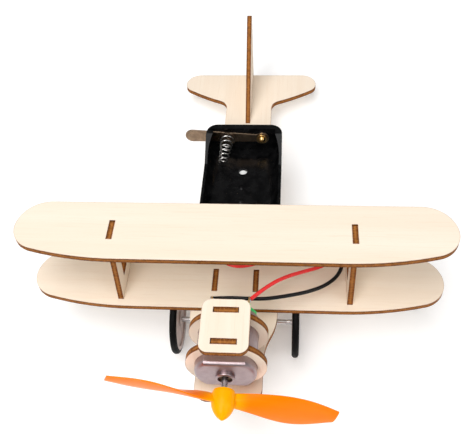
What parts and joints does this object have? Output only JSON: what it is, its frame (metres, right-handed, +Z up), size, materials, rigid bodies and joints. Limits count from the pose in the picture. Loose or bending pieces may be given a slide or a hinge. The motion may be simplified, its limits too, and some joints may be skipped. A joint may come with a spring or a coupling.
{
  "type": "electric toy biplane",
  "caption": "Small laser-cut plywood biplane with a nose motor and propeller, a tray for AA cells with a lever switch, wheels on a steel axle and a tail skid.",
  "frame": {"origin": "on the ground under the middle of the standing plane's bounding box", "axes": "+X to the right as seen from in front of the nose; +Y back to the tail; +Z up; the plane stands nose-up by 8 degrees on its wheels and skid; left and right in names are as seen from in front"},
  "size_m": [0.1506, 0.184, 0.0591],
  "materials": {
    "plywood": "sanded pale plywood with laser-darkened edges",
    "motor_steel": "satin drawn steel",
    "bright_steel": "ground and bright",
    "plated_steel": "dull nickel plate",
    "spring_steel": "bright nickel plate",
    "core_steel": "stacked laminations",
    "magnet": "sintered ferrite",
    "bronze": "sintered bronze",
    "brass": "bright stamped brass",
    "copper": "turned copper",
    "copper_wire": "enamelled copper wire",
    "green_plastic": "moulded, satin",
    "orange_plastic": "moulded, slightly translucent",
    "grey_plastic": "moulded, satin",
    "tyre_rubber": "smooth rubber band",
    "black_plastic": "moulded, glossy",
    "white_foam": "closed-cell foam tape",
    "red_insulation": "soft vinyl",
    "black_insulation": "soft vinyl"
  },
  "bodies": {
    "airframe": {"fuselage_plate": "plywood", "lower_wing": "plywood", "upper_wing": "plywood", "left_strut": "plywood", "right_strut": "plywood", "front_motor_ring": "plywood", "rear_motor_ring": "plywood", "motor_top_plate": "plywood", "left_gear_plate": "plywood", "right_gear_plate": "plywood", "tail_fin": "plywood", "motor_can": "motor_steel", "motor_front_bush": "bronze", "left_magnet": "magnet", "right_magnet": "magnet", "motor_end_bell": "green_plastic", "motor_rear_bush": "bronze", "left_brush_terminal": "brass", "right_brush_terminal": "brass", "battery_box": "black_plastic", "foam_tape": "white_foam", "pivot_rivet": "brass", "pivot_washer": "brass", "rear_spring_rivet": "plated_steel", "rear_spring": "spring_steel", "front_positive_rivet": "brass", "front_negative_rivet": "plated_steel", "front_spring": "spring_steel", "red_wire": "red_insulation", "black_wire": "black_insulation"},
    "rotor": {"motor_shaft": "bright_steel", "armature_core": "core_steel", "armature_coils": "copper_wire", "commutator": "copper", "propeller": "orange_plastic"},
    "wheelset": {"axle": "bright_steel", "left_wheel_hub": "grey_plastic", "right_wheel_hub": "grey_plastic", "left_tyre": "tyre_rubber", "right_tyre": "tyre_rubber"},
    "lever": {"switch_lever": "plated_steel"}
  },
  "joints": [
    {"name": "propeller_spin", "type": "hinge", "parent": "airframe", "child": "rotor", "pos_m": [0, -0.06232, 0.04189], "axis": [0, 0.9903, -0.1392], "continuous": true},
    {"name": "wheel_spin", "type": "hinge", "parent": "airframe", "child": "wheelset", "pos_m": [0, -0.0457, 0.0132], "axis": [1, 0, 0], "continuous": true},
    {"name": "switch_turn", "type": "hinge", "parent": "airframe", "child": "lever", "pos_m": [0.00735, 0.03157, 0.02587], "axis": [0, 0.9903, -0.1392], "range_deg": [0, 20]}
  ]
}
